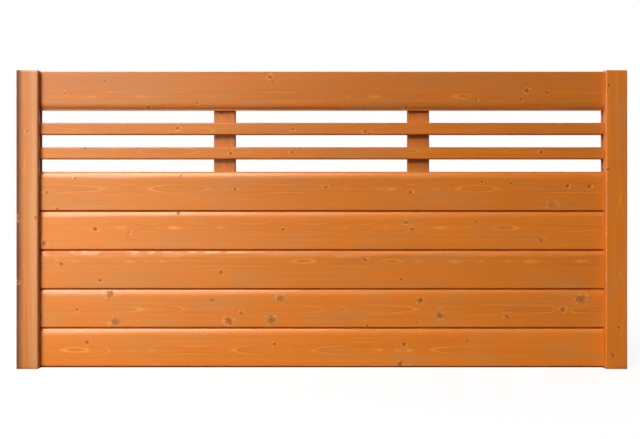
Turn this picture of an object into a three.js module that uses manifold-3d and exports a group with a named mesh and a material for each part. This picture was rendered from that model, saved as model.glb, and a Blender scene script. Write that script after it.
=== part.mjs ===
// Garden privacy screen: a fixed timber panel of two grooved stiles, two rear uprights, a top board,
// two open slats and a field of tongued and grooved boards, held by countersunk screws from behind.
// Millimetres, +Z up. X runs along the width and the face side looks along -Y.
// The origin is on the ground, in the middle of the panel's width and depth.

import * as THREE from "three";
import { mergeVertices } from "three/addons/utils/BufferGeometryUtils.js";
import Module from "manifold-3d";

const wasm = await Module();
wasm.setup();

// Panel.
const PANEL_WIDTH = 1800;
const PANEL_HEIGHT = 880;
const END_RECESS = 1; // the boards stop this far short of the stiles' ends
const FIT = 0.3; // clearance between faces that seat on each other

// Stiles, the two outer posts. The groove's front cheek takes what the rear one leaves.
const STILE_WIDTH = 65;
const STILE_DEPTH = 45;
const STILE_EDGE_RADIUS = 5;
const REAR_CHEEK = 7.5;
const STILE_GROOVE_DEPTH = 20;
const EXPANSION_GAP = 2; // room for the board ends to swell in the groove
const END_CHAMFER = 1.5; // on the sawn ends of stiles and uprights

// Uprights, the battens behind the boards, from left to right.
const UPRIGHT_NAMES = ["left_upright", "right_upright"];
const UPRIGHT_WIDTH = 65;
const UPRIGHT_DEPTH = 18;
const UPRIGHT_EDGE_RADIUS = 3;

// Boards. One section serves for all of them, and the top one is turned over with its groove ripped off.
const BOARD_COUNT = 5;
const BOARD_THICKNESS = 18;
const BEVEL_HEIGHT = 11;
const BEVEL_DEPTH = 5;
const BEVEL_EASE = 2.5; // length over which the bevel rounds into the face
const LIP_HEIGHT = 5; // chamfer on the lower front edge
const LIP_DEPTH = 5;
const LIP_EASE = 1.2; // length over which that chamfer rounds into the face
const REAR_EASE = 1;
const SHADOW_GAP = 1; // open line between a lip and the bevel under it
const TONGUE_SETBACK = 6; // from the board's face
const TONGUE_THICKNESS = 6;
const TONGUE_LENGTH = 4.5;
const TONGUE_CHAMFER = 1;
const TONGUE_TIP_GAP = 0.5;
const PLAIN_EDGE_EASE = 1;

// Slats from the bottom up, and the open gaps over, between and under them.
const SLAT_NAMES = ["lower_slat", "upper_slat"];
const SLAT_HEIGHT = 36;
const SLAT_EDGE_RADIUS = 3.5;
const OPEN_GAP = 36.5;

// Countersunk screws.
const SCREW_RADIUS = 2;
const SCREW_HEAD_RADIUS = 4;
const SCREW_HEAD_RIM = 0.4;
const SCREW_TIP_LENGTH = 4;
const SCREW_SINK = 0.3; // head under the timber's surface
const SCREW_CLEARANCE = 0.4; // round the shank and the head
const UPRIGHT_SCREW_LENGTH = 30;
const STILE_SCREW_LENGTH = 20;
const STILE_SCREW_INSET = 10.5; // from the stile's inner face
const SOCKET_RADIUS = 1.6;
const SOCKET_INNER_RADIUS = 1.15;
const SOCKET_LOBES = 6;
const SOCKET_DEPTH = 1.6;
const CUT_OVERSHOOT = 2; // a cut starts this far outside the surface

// Facets.
const CURVE_SEGMENTS = 5;
const SCREW_SEGMENTS = 12;

// Depths, from the stiles' front face backwards.
const grooveBack = STILE_DEPTH - REAR_CHEEK;
const grooveFront = grooveBack - BOARD_THICKNESS - 2 * FIT;
const boardFront = grooveFront + FIT;
const boardBack = boardFront + BOARD_THICKNESS;
const uprightFront = boardBack + FIT;
const uprightBack = uprightFront + UPRIGHT_DEPTH;
const overallDepth = Math.max(STILE_DEPTH, uprightBack);
const frontPlane = -overallDepth / 2;

// Widths.
const clearWidth = PANEL_WIDTH - 2 * STILE_WIDTH;
const boardLength = clearWidth + 2 * (STILE_GROOVE_DEPTH - EXPANSION_GAP);
const uprightCount = UPRIGHT_NAMES.length;
const bayWidth = (clearWidth - uprightCount * UPRIGHT_WIDTH) / (uprightCount + 1);

// Heights. The six boards share what the slats and the gaps leave of the panel.
const tongueRise = TONGUE_LENGTH - SHADOW_GAP; // part of a tongue inside the next groove
const boardGrooveDepth = tongueRise + TONGUE_TIP_GAP;
const rippedOff = boardGrooveDepth;
const slatCount = SLAT_NAMES.length;
const openHeight = (slatCount + 1) * OPEN_GAP + slatCount * SLAT_HEIGHT;
const boardsHeight = PANEL_HEIGHT - 2 * END_RECESS - openHeight - 2 * tongueRise + rippedOff;
const boardCover = boardsHeight / (BOARD_COUNT + 1);
const faceHeight = boardCover - SHADOW_GAP;
const boardHeight = faceHeight + TONGUE_LENGTH;
const topBoardHeight = boardHeight - rippedOff;

const STAIN = 0xcb7737;
const STAIN_DARK = 0xb96a30;
const STEEL = 0xb9b6ac;

function timber(colour) {
  return new THREE.MeshStandardMaterial({ color: colour, roughness: 0.5, metalness: 0 });
}

function steel() {
  return new THREE.MeshStandardMaterial({ color: STEEL, roughness: 0.35, metalness: 0.9 });
}

// A closed solid for joining and cutting, from a geometry's positions alone.
function solidOf(geometry) {
  const bare = new THREE.BufferGeometry();
  bare.setAttribute("position", geometry.getAttribute("position").clone());
  if (geometry.index) {
    bare.setIndex(geometry.index.clone());
  }
  const merged = mergeVertices(bare, 1e-4);
  const vertProperties = new Float32Array(merged.getAttribute("position").array);
  const triVerts = new Uint32Array(merged.index.array);
  return new wasm.Manifold(new wasm.Mesh({ numProp: 3, vertProperties, triVerts }));
}

function geometryOf(solid) {
  const mesh = solid.getMesh();
  const indexed = new THREE.BufferGeometry();
  indexed.setAttribute("position", new THREE.BufferAttribute(mesh.vertProperties, 3));
  indexed.setIndex(new THREE.BufferAttribute(mesh.triVerts, 1));
  const geometry = indexed.toNonIndexed();
  geometry.computeVertexNormals();
  return geometry;
}

function cut(geometry, cutters) {
  let solid = solidOf(geometry);
  for (const cutter of cutters) {
    solid = solid.subtract(solidOf(cutter));
  }
  return geometryOf(solid);
}

function mirrored(shape) {
  const points = shape.getPoints(CURVE_SEGMENTS);
  return new THREE.Shape(points.map((point) => new THREE.Vector2(-point.x, point.y)));
}

function turnedOver(shape, height) {
  const points = shape.getPoints(CURVE_SEGMENTS);
  return new THREE.Shape(points.map((point) => new THREE.Vector2(point.x, height - point.y)));
}

function roundedRectangle(width, height, radius) {
  const outline = new THREE.Shape();
  outline.moveTo(radius, 0);
  outline.lineTo(width - radius, 0);
  outline.absarc(width - radius, radius, radius, -Math.PI / 2, 0);
  outline.lineTo(width, height - radius);
  outline.absarc(width - radius, height - radius, radius, 0, Math.PI / 2);
  outline.lineTo(radius, height);
  outline.absarc(radius, height - radius, radius, Math.PI / 2, Math.PI);
  outline.lineTo(0, radius);
  outline.absarc(radius, radius, radius, Math.PI, 1.5 * Math.PI);
  return outline;
}

// A length that stands up along Z, with its sawn ends chamfered.
function standing(shape, length) {
  const geometry = new THREE.ExtrudeGeometry(shape, {
    depth: length - 2 * END_CHAMFER,
    curveSegments: CURVE_SEGMENTS,
    bevelEnabled: true,
    bevelThickness: END_CHAMFER,
    bevelSize: END_CHAMFER,
    bevelOffset: -END_CHAMFER,
    bevelSegments: 1,
  });
  return geometry.translate(0, 0, END_CHAMFER);
}

// A length that lies along X. The shape's x is depth and its y is height.
function lying(shape, length) {
  const options = { depth: length, curveSegments: CURVE_SEGMENTS, bevelEnabled: false };
  const geometry = new THREE.ExtrudeGeometry(shape, options);
  const axes = new THREE.Matrix4().makeBasis(
    new THREE.Vector3(0, 1, 0),
    new THREE.Vector3(0, 0, 1),
    new THREE.Vector3(1, 0, 0),
  );
  return geometry.applyMatrix4(axes).translate(-length / 2, 0, 0);
}

// The left stile's section: outer face at x = 0, front face at y = 0, groove open towards +X.
function stileSection() {
  const radius = STILE_EDGE_RADIUS;
  const outline = new THREE.Shape();
  outline.moveTo(radius, 0);
  outline.lineTo(STILE_WIDTH - radius, 0);
  outline.absarc(STILE_WIDTH - radius, radius, radius, -Math.PI / 2, 0);
  outline.lineTo(STILE_WIDTH, grooveFront);
  outline.lineTo(STILE_WIDTH - STILE_GROOVE_DEPTH, grooveFront);
  outline.lineTo(STILE_WIDTH - STILE_GROOVE_DEPTH, grooveBack);
  outline.lineTo(STILE_WIDTH, grooveBack);
  outline.lineTo(STILE_WIDTH, STILE_DEPTH - radius);
  outline.absarc(STILE_WIDTH - radius, STILE_DEPTH - radius, radius, 0, Math.PI / 2);
  outline.lineTo(radius, STILE_DEPTH);
  outline.absarc(radius, STILE_DEPTH - radius, radius, Math.PI / 2, Math.PI);
  outline.lineTo(0, radius);
  outline.absarc(radius, radius, radius, Math.PI, 1.5 * Math.PI);
  return outline;
}

// The upper edge of a board: a bevel on the face side, the tongue, and a square shoulder behind it.
function addTongueEdge(outline) {
  const bevelFoot = faceHeight - BEVEL_HEIGHT;
  const slope = BEVEL_DEPTH / BEVEL_HEIGHT;
  const tongueBack = TONGUE_SETBACK + TONGUE_THICKNESS;
  const rearShoulder = boardCover - FIT;
  outline.lineTo(0, bevelFoot - BEVEL_EASE);
  outline.quadraticCurveTo(0, bevelFoot, slope * BEVEL_EASE, bevelFoot + BEVEL_EASE);
  outline.lineTo(BEVEL_DEPTH, faceHeight);
  outline.lineTo(TONGUE_SETBACK, faceHeight);
  outline.lineTo(TONGUE_SETBACK, boardHeight - TONGUE_CHAMFER);
  outline.lineTo(TONGUE_SETBACK + TONGUE_CHAMFER, boardHeight);
  outline.lineTo(tongueBack - TONGUE_CHAMFER, boardHeight);
  outline.lineTo(tongueBack, boardHeight - TONGUE_CHAMFER);
  outline.lineTo(tongueBack, rearShoulder);
  outline.lineTo(BOARD_THICKNESS - REAR_EASE, rearShoulder);
  outline.lineTo(BOARD_THICKNESS, rearShoulder - REAR_EASE);
}

// The lower edge of a board: the rear cheek, the groove and the chamfered front lip.
function addGrooveEdge(outline) {
  const slope = LIP_DEPTH / LIP_HEIGHT;
  const slotFront = TONGUE_SETBACK - FIT;
  const slotBack = TONGUE_SETBACK + TONGUE_THICKNESS + FIT;
  outline.lineTo(BOARD_THICKNESS, REAR_EASE);
  outline.lineTo(BOARD_THICKNESS - REAR_EASE, 0);
  outline.lineTo(slotBack, 0);
  outline.lineTo(slotBack, boardGrooveDepth);
  outline.lineTo(slotFront, boardGrooveDepth);
  outline.lineTo(slotFront, 0);
  outline.lineTo(LIP_DEPTH, 0);
  outline.lineTo(slope * LIP_EASE, LIP_HEIGHT - LIP_EASE);
  outline.quadraticCurveTo(0, LIP_HEIGHT, 0, LIP_HEIGHT + LIP_EASE);
}

// The edge left by ripping the groove off: square, with its arrises eased.
function addPlainEdge(outline) {
  outline.lineTo(BOARD_THICKNESS, rippedOff + PLAIN_EDGE_EASE);
  outline.lineTo(BOARD_THICKNESS - PLAIN_EDGE_EASE, rippedOff);
  outline.lineTo(PLAIN_EDGE_EASE, rippedOff);
  outline.lineTo(0, rippedOff + PLAIN_EDGE_EASE);
}

// Face at x = 0 and the grooved edge's lowest line at y = 0.
function boardSection(addLowerEdge) {
  const outline = new THREE.Shape();
  outline.moveTo(0, faceHeight / 2);
  addTongueEdge(outline);
  addLowerEdge(outline);
  return outline;
}

// A screw's outline from its tip to its head, round the Y axis, with the head's top at y = 0.
// A margin makes the hole for it, which also opens past the timber's surface.
function screwOutline(length, margin, opening) {
  const headCone = SCREW_HEAD_RADIUS - SCREW_RADIUS;
  return [
    new THREE.Vector2(0, -length - margin),
    new THREE.Vector2(SCREW_RADIUS + margin, -length + SCREW_TIP_LENGTH),
    new THREE.Vector2(SCREW_RADIUS + margin, -SCREW_HEAD_RIM - headCone),
    new THREE.Vector2(SCREW_HEAD_RADIUS + margin, -SCREW_HEAD_RIM),
    new THREE.Vector2(SCREW_HEAD_RADIUS + margin, opening),
    new THREE.Vector2(0, opening),
  ];
}

function starSocket() {
  const outline = new THREE.Shape();
  for (let corner = 0; corner < 2 * SOCKET_LOBES; corner += 1) {
    const angle = (Math.PI * corner) / SOCKET_LOBES;
    const radius = corner % 2 === 0 ? SOCKET_RADIUS : SOCKET_INNER_RADIUS;
    const x = radius * Math.cos(angle);
    const y = radius * Math.sin(angle);
    if (corner === 0) {
      outline.moveTo(x, y);
    } else {
      outline.lineTo(x, y);
    }
  }
  const options = { depth: SOCKET_DEPTH + CUT_OVERSHOOT, bevelEnabled: false };
  const geometry = new THREE.ExtrudeGeometry(outline, options);
  return geometry.rotateX(-Math.PI / 2).translate(0, -SOCKET_DEPTH, 0);
}

function screwGeometry(length) {
  const turned = new THREE.LatheGeometry(screwOutline(length, 0, 0), SCREW_SEGMENTS);
  return cut(turned, [starSocket()]);
}

function screwHole(length) {
  const outline = screwOutline(length, SCREW_CLEARANCE, SCREW_SINK + CUT_OVERSHOOT);
  return new THREE.LatheGeometry(outline, SCREW_SEGMENTS);
}

// Rows from the bottom up: where each board or slat starts, and the height at which it is screwed.
function rowsOfPanel() {
  const rows = [];
  let height = END_RECESS;
  for (let number = BOARD_COUNT; number >= 1; number -= 1) {
    const name = `board_${number}`;
    rows.push({ name, foot: height, screwHeight: height + boardCover / 2, kind: "board" });
    height += boardCover;
  }
  height += tongueRise + OPEN_GAP;
  for (const name of SLAT_NAMES) {
    rows.push({ name, foot: height, screwHeight: height + SLAT_HEIGHT / 2, kind: "slat" });
    height += SLAT_HEIGHT + OPEN_GAP;
  }
  rows.push({ name: "top_board", foot: height, screwHeight: height + topBoardHeight / 2, kind: "top" });
  return rows;
}

// A stile on the left (side -1) or the right (side 1), with the line on which it takes its screws.
function stilePlan(name, side) {
  const outerFace = (side * PANEL_WIDTH) / 2;
  return {
    name,
    side,
    left: Math.min(outerFace, outerFace - side * STILE_WIDTH),
    screwX: outerFace - side * (STILE_WIDTH - STILE_SCREW_INSET),
    back: frontPlane + STILE_DEPTH,
    screwLength: STILE_SCREW_LENGTH,
  };
}

function uprightPlan(name, index) {
  const left = -clearWidth / 2 + bayWidth + index * (UPRIGHT_WIDTH + bayWidth);
  return {
    name,
    side: 0,
    left,
    screwX: left + UPRIGHT_WIDTH / 2,
    back: frontPlane + uprightBack,
    screwLength: UPRIGHT_SCREW_LENGTH,
  };
}

function postsOfPanel() {
  return [stilePlan("left_stile", -1), ...UPRIGHT_NAMES.map(uprightPlan), stilePlan("right_stile", 1)];
}

function screwsOfPanel(rows, posts) {
  const screws = [];
  for (const post of posts) {
    for (const row of rows) {
      screws.push({
        name: `screw_${post.name}_${row.name}`,
        post: post.name,
        row: row.name,
        length: post.screwLength,
        place: new THREE.Vector3(post.screwX, post.back - SCREW_SINK, row.screwHeight),
      });
    }
  }
  return screws;
}

function holesFor(screws, place) {
  return screws.map((screw) => {
    const offset = screw.place.clone().sub(place);
    return screwHole(screw.length).translate(offset.x, offset.y, offset.z);
  });
}

function pieceAt(name, geometry, material, place) {
  const mesh = new THREE.Mesh(geometry, material);
  mesh.name = name;
  mesh.position.copy(place);
  return mesh;
}

function uprightPiece(post, screws) {
  const place = new THREE.Vector3(post.left, frontPlane + uprightFront, 0);
  const section = roundedRectangle(UPRIGHT_WIDTH, UPRIGHT_DEPTH, UPRIGHT_EDGE_RADIUS);
  const batten = standing(section, PANEL_HEIGHT);
  return pieceAt(post.name, cut(batten, holesFor(screws, place)), timber(STAIN_DARK), place);
}

function stilePiece(post, screws) {
  const place = new THREE.Vector3(post.left, frontPlane, 0);
  const isRight = post.side > 0;
  const section = isRight ? mirrored(stileSection()) : stileSection();
  const stile = standing(section, PANEL_HEIGHT).translate(isRight ? STILE_WIDTH : 0, 0, 0);
  return pieceAt(post.name, cut(stile, holesFor(screws, place)), timber(STAIN), place);
}

function postPiece(post, screws) {
  const mine = screws.filter((screw) => screw.post === post.name);
  return post.side === 0 ? uprightPiece(post, mine) : stilePiece(post, mine);
}

function rowSection(kind) {
  if (kind === "slat") {
    return roundedRectangle(BOARD_THICKNESS, SLAT_HEIGHT, SLAT_EDGE_RADIUS);
  }
  if (kind === "top") {
    return turnedOver(boardSection(addPlainEdge), boardHeight);
  }
  return boardSection(addGrooveEdge);
}

function rowPiece(row, screws) {
  const mine = screws.filter((screw) => screw.row === row.name);
  const place = new THREE.Vector3(0, frontPlane + boardFront, row.foot);
  const board = lying(rowSection(row.kind), boardLength);
  return pieceAt(row.name, cut(board, holesFor(mine, place)), timber(STAIN), place);
}

function buildPanel() {
  const rows = rowsOfPanel();
  const posts = postsOfPanel();
  const screws = screwsOfPanel(rows, posts);
  const timbers = new THREE.Group();
  for (const post of posts) {
    timbers.add(postPiece(post, screws));
  }
  for (const row of rows) {
    timbers.add(rowPiece(row, screws));
  }
  const fixings = new THREE.Group();
  for (const screw of screws) {
    fixings.add(pieceAt(screw.name, screwGeometry(screw.length), steel(), screw.place));
  }
  const panel = new THREE.Group();
  panel.add(timbers, fixings);
  return panel;
}

const privacyScreen = buildPanel();

export default privacyScreen;
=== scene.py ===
"""Garden privacy screen: planed and stained softwood, countersunk screws, floor, lamps and camera.

Everything is in metres in the frame's own axes: +X along the width, +Y from the face to the back, +Z up.
Sizes that belong to timber and screws are written in millimetres and turned into metres once, by MM.
"""

import math

import bmesh
import bpy
import numpy as np
from mathutils import Matrix, Vector


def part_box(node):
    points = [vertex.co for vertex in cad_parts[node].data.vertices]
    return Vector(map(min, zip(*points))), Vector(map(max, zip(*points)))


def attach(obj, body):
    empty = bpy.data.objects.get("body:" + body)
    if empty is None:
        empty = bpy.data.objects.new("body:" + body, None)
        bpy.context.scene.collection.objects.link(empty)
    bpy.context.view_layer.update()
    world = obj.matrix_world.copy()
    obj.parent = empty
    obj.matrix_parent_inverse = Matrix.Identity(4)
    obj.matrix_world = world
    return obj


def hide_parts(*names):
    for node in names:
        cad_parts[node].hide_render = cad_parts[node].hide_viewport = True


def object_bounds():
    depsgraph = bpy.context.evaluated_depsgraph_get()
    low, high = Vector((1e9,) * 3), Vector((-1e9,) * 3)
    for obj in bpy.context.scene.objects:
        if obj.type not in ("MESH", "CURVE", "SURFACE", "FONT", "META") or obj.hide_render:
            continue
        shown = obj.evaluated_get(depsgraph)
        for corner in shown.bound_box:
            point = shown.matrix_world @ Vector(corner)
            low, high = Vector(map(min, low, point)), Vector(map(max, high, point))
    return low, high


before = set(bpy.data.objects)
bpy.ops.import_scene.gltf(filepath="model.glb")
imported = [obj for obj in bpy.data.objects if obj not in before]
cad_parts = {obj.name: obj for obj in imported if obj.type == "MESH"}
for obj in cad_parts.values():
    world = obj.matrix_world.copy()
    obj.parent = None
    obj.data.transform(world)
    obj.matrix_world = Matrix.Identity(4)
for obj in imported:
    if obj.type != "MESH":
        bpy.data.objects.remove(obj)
cad_low, cad_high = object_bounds()

MM = 0.001
BODY = "root"
VECTOR = "NodeSocketVector"
FLOAT = "NodeSocketFloat"
COLOUR = "NodeSocketColor"

# Camera, as the photograph was taken: square on, a little left of the panel's middle.
CAMERA_DISTANCE = 2.45  # from the stiles' front faces
CAMERA_X = -0.055
CAMERA_HEIGHT = 0.4402
FRAME_WIDTH_PX = 640
PANEL_MIDDLE_PX = 321.85
MM_PER_PX = 2.942  # on the stiles' front faces
SENSOR_MM = 36

# How a place in the photograph is carried to the boards' faces, which lie further from the lens than the
# stiles'. The scale up was measured apart from the one along, so it differs a little from it.
AXIS_PX = 303.15  # the column straight ahead of the lens
ALONG_MM_PER_PX = 2.965
EYE_PX = 219.4  # the row that shows EYE_HEIGHT
EYE_HEIGHT = 440
UP_MM_PER_PX = 2.9719

# The boards' section, in millimetres: depth behind the face and height over the lower edge.
BOARD_THICKNESS = 18
BEVEL_HEIGHT = 11
BEVEL_DEPTH = 5
BEVEL_EASE = 38  # radius with which the bevel curves into the face
EDGE_EASE = 0.3  # radius of the corners inside a joint
LIP_HEIGHT = 5
LIP_DEPTH = 5
LIP_ROUNDING = 2.9
SHADOW_GAP = 1
FIT = 0.3
TONGUE_SETBACK = 6
TONGUE_THICKNESS = 6
TONGUE_LENGTH = 4.5
BOARD_GROOVE_DEPTH = 4
SLAT_EDGE_RADIUS = 3.5

# The posts' sections.
STILE_EDGE_RADIUS = 5
STILE_GROOVE_DEPTH = 20
REAR_CHEEK = 7.5
UPRIGHT_EDGE_RADIUS = 3

# Planed timber.
ARRIS = 0.7  # radius of an eased corner
END_EASE = 1.2  # of a sawn end
TIMBER_CREASE = 38  # degrees from which an edge is sharp
ARC_STEPS = 6
WIDE_ARC_STEP = 2.5  # between points along a wide curve
WIDE_CURVE = 10  # radius from which a corner is no arris
SECTION_STEP = 4.0  # between points along a straight part of a section
LENGTH_STEP = 9.0
KNOT_STEP = 1.5
ARRIS_REACH = 1.6  # how far from an arris its mark reaches: wear, or painted shade on slats and uprights
BEVEL_WANDER = {"board_3": (6.0, 70.0)}  # how far the bevel's foot strays, and in what waves
BEVEL_WANDER_ELSEWHERE = (2.0, 150.0)
BEVEL_SETTLE = 12.0  # distance down the face over which that dies out
KNOT_RELIEF = 0.22  # height of a knot over the shrunken wood round it
KNOT_REACH = 2.2  # radii round a knot in which the mesh is fine
FACE_WANDER = 0.12
FACE_WAVE = 260.0
CHANCES = 4096  # chance heights before a wandering line repeats
OCTAVES = 3
ROW_SEED = 11
POST_SEED = 101
SEED_STEP = 7

# Screws.
SCREW_HEAD_RADIUS = 4.0
SCREW_SHANK_RADIUS = 1.55
SCREW_THREAD_RADIUS = 2.0
SCREW_PITCH = 2.2
SCREW_NECK = 2.6  # from the head's top to where its cone meets the shank
SCREW_PLAIN_SHARE = 0.22  # of the length, under the neck, without a thread
SCREW_TIP = 5.0
SCREW_CORE = 0.85  # of the shank's radius, between two threads
SCREW_RIDGE = 0.28  # half of a thread's width, of the pitch
RINGS_PER_PITCH = 10
SCREW_CREASE = 32  # degrees
SCREW_TURNS = 12  # ways a screw can be turned, TURN_STEP degrees apart
TURN_STEP = 17
SOCKET_RADIUS = 1.45
SOCKET_LOBE = 0.22
SOCKET_DEPTH = 1.6
SCREW_SIDES = 36
COUNTERSINK_MARGIN = 0.35
COUNTERSINK_SIDES = 24
COUNTERSINK_OPENING = 1.5  # how far the cutter stands out of the wood
COUNTERSINK_OVERRUN = 1.0  # past the screw's tip

# Stain colours, linear.
WOOD = (0.720, 0.188, 0.0110)
PALE = (0.900, 0.335, 0.0520)  # earlywood, just outside a ring's edge
LATE = (0.540, 0.120, 0.0060)
FLUSHED = (0.630, 0.208, 0.0380)  # where the stain has gone greyish pink
WORN = (0.800, 0.330, 0.0900)
# Darker along the left stile's outer edge.
DARK_EDGE = (0.110, 0.016, 0.0006)
PAINTED_SHEEN = (0.700, 0.330, 0.1500)  # painted sheen: a greyish veil that stands for a reflection
ARRIS_SHADE = (0.200, 0.036, 0.0010)  # painted shade on the arrises of slats and uprights, which dims their highlight
UNDERSIDE_SHADE = (0.560, 0.090, 0.0002)  # painted shade on faces that look down, under a lower edge
KNOT_WOOD = (0.450, 0.118, 0.0010)
KNOT_CORE = (0.090, 0.014, 0.0002)
KNOT_HALO = (0.620, 0.220, 0.0500)
# Painted highlight next to a knot, on one side of it.
KNOT_HIGHLIGHT = (0.950, 0.420, 0.0900)
RAW_WOOD = (0.620, 0.400, 0.2000)
ZINC = (0.560, 0.545, 0.500)
DULL_ZINC = (0.330, 0.320, 0.300)

# The stain's gloss: the roughness of a smooth place, and what each thing adds to it.
WOOD_ROUGHNESS = 0.31
WOOD_SPECULAR = 0.5
FIBRE_ROUGHNESS = 0.14
DARK_ROUGHNESS = 0.50  # knots and the left stile's dark edge
END_ROUGHNESS = 0.25
STARVED_ROUGHNESS = 0.30  # dull patches on one board's bevel
STARVED_BEVEL = "board_3"

# Relief of the planed surface, in millimetres.
FIBRE_RELIEF = 0.05
LATE_RELIEF = 0.03
PLANING_RELIEF = 0.16
CHECK_RELIEF = -0.15  # cracks in a knot

# The left stile is darker along its outer edge, and has a painted sheen next to that, standing for a
# reflection. Both edges stray along its length.
DARK_EDGE_END = 27.0  # from the left face
SHEEN_START = 26.0
SHEEN_END = 60.0
EDGE_STRAY = 10.0
EDGE_WAVE = 200.0

KNOT_PUSH = 1.5  # how far a knot pushes the rings aside, in its own radii
# Sockets for the timber's marks: some are real, some are painted shade and a painted sheen.
MARKS_AND_PAINTED_LIGHT = ["Wear", "Heartwood", "Bloom", "Arris Shade", "Underside Shade", "Upward", "End Grain"]
NO_KNOTS = {"Pushed": 0.0, "Near": 50.0, "Size": 5.0, "Nearest Dark": 0.0}  # before the first knot

# Knots of the boards and slats, given one by one and some nudged: column and row in the photograph, in
# pixels, then the radius in millimetres and how dark the knot is (0 to 1).
SEEN_KNOTS = {
    "top_board": [
        (65, 93, 3.5, 0.6), (104, 81, 3.5, 0.7), (148, 107, 4, 0.8), (197.2, 103, 3, 0.6),
        (270, 77.5, 5, 0.8), (272.5, 82, 4, 0.5), (406, 107.5, 4, 0.8), (475.9, 99.5, 3.5, 0.7),
        (521, 99, 4, 0.7), (526.5, 91, 5, 0.8), (547, 93, 4.5, 0.8),
    ],
    "upper_slat": [(178, 128, 4.5, 0.9), (292.6, 129, 4, 0.7), (365, 131, 4.5, 0.8), (511, 133.8, 3, 0.6)],
    "lower_slat": [(85, 148.1, 4, 0.7), (230.6, 153, 4, 0.9), (291.6, 152, 3, 0.8), (541, 152, 4, 0.7)],
    "board_1": [
        (46.9, 192, 4.5, 0.6), (57, 209, 4, 0.7), (74.9, 178, 3.5, 0.8), (181, 175.2, 3.5, 0.8),
        (235, 189, 3.5, 0.7), (325.5, 187, 4, 0.8), (410.5, 192, 4.5, 0.8), (482, 182, 3, 0.7),
        (511, 183, 3, 0.7), (552, 204.9, 9, 0.3), (567.2, 186, 4.5, 0.8), (589.5, 186, 4.5, 0.8),
    ],
    "board_2": [
        (43.8, 243, 6, 0.8), (94.6, 229, 5, 0.9), (128, 232, 4, 0.5), (178, 213, 4.5, 0.8),
        (283.2, 229, 4, 0.8), (406, 222.2, 4.5, 0.8), (412, 229, 3.5, 0.8), (475.9, 222, 4, 0.4),
        (541, 240, 5, 0.8),
    ],
    "board_3": [
        (61, 263.5, 5, 0.8), (100, 280, 5, 0.8), (221, 272, 5, 0.9), (365, 259, 4.5, 0.8),
        (401, 279, 3, 0.7),
    ],
    "board_4": [
        (77, 309, 3.5, 0.8), (110, 293.6, 9, 0.8), (115, 320.9, 9, 0.85), (212, 300, 5, 0.7),
        (229, 320.9, 8, 0.9), (241, 312, 4, 0.8), (271.5, 319, 9, 0.85), (280.2, 298, 8, 0.8),
        (367, 325, 3, 0.7), (416, 322.5, 4, 0.4), (420.1, 300, 6, 0.9), (440, 315, 8, 0.9),
        (507, 316, 5, 0.4), (562.5, 309, 6, 0.8), (580.8, 298.6, 10, 0.8),
    ],
    "board_5": [
        (87, 342, 4.5, 0.9), (274, 343.5, 4, 0.8), (400, 363, 6, 0.9), (404, 344, 4.5, 0.9),
        (467.5, 340, 4, 0.3),
    ],
}

# Knots of the posts, in millimetres: over the ground, from the left face, radius, and how dark.
POST_KNOTS = {
    "left_stile": [(444, 8, 5, 0.8), (256, 6, 4, 0.7), (446, 57, 4, 0.6), (700, 34, 5, 0.4)],
    "right_stile": [(836, 9, 4, 0.7), (588, 6, 4, 0.7), (123, 38, 3.5, 0.6), (41, 21, 5, 0.7)],
    "left_upright": [(760, 22, 6, 0.6), (655, 47, 4, 0.5), (310, 18, 7, 0.7), (90, 40, 6, 0.7)],
    "right_upright": [(715, 38, 5, 0.6), (480, 14, 8, 0.7), (205, 49, 5, 0.6)],
}

# Flames of the boards: how far over the lower edge the heart line runs, in millimetres, and the columns at
# which a ring comes to a point. With a minus sign the ring points to the left.
SEEN_FLAMES = {
    "top_board": (41, [
        -85, 96, -134, 148, -206, 217, -343, 351, -366, 382, -450, 476, -512, 523,
    ]),
    "board_1": (68, [
        108, -145, 212, -224, 233, -342, 350, -372, 398, -427, 441, -453, 502,
    ]),
    "board_2": (68, [
        -85, 93, -111, 130, -165, 184, -214, 224, -276, 284, -341, 349, -380, 390, -431, 449, -462, 470,
        -489, 521,
    ]),
    "board_3": (84, [
        82, -124, 134, -143, 149, -158, 166, -288, 318, -378, 404, -412, 424, -447, 463, -476, 484,
        -503, 511, -522, 543, -572, 590,
    ]),
    "board_4": (57, [
        146, 188, -211, 219, 327, 349, 420, 452,
    ]),
    "board_5": (52, [
        -56, 92, 111, -126, 134, -146, 157, -228, -268, 275, -284, 294, -308, -373, 384, -392, 413,
        -427,
    ]),
}

# Flames of the slats and posts, all in millimetres, along X or over the ground. On a post the heart line is
# measured from the left face. A ring that points to the right, or up, is 1 and another one is -1.
PLAIN_FLAMES = {
    "upper_slat": (12, [(-700, 1), (-480, -1), (-300, 1), (-60, 1), (90, -1), (420, -1), (700, 1)]),
    "lower_slat": (24, [(-560, -1), (-350, 1), (-190, 1), (60, -1), (310, 1), (520, -1)]),
    "left_stile": (20, [(120, 1), (330, 1), (560, -1), (770, -1)]),
    "right_stile": (44, [(90, -1), (300, 1), (520, 1), (740, -1)]),
    "left_upright": (30, [(160, 1), (400, -1), (620, 1), (800, 1)]),
    "right_upright": (36, [(110, -1), (350, 1), (560, -1), (790, 1)]),
}
FIRST_RING = 14.15  # at the first point; the fraction is the pale part of a ring
RING_SPAN = 28  # rings that the curve of the heart can reach
CURVE_LENGTH = 1800
RING_SWELL = 0.0060  # rings a millimetre between two flames that point towards each other
EYE_SWELL = 0.0025  # and inside a flame with two points
MOST_SWELL = 0.55
RUN_OUT = 150  # past the first and the last flame, over which the heart moves by half a ring

# Width of the rings in millimetres, and a brightness factor for each timber; the rows get lighter downwards.
SAWN = {
    "board_5": (3.3, 1.08), "board_4": (3.1, 1.01), "board_3": (3.4, 0.96), "board_2": (3.2, 1.01),
    "board_1": (3.4, 0.95), "lower_slat": (3.0, 0.90), "upper_slat": (3.3, 0.89),
    "top_board": (3.4, 0.85), "left_stile": (3.2, 0.85), "right_stile": (3.4, 1.05),
    "left_upright": (3.5, 0.87), "right_upright": (3.2, 0.86),
}

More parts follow.
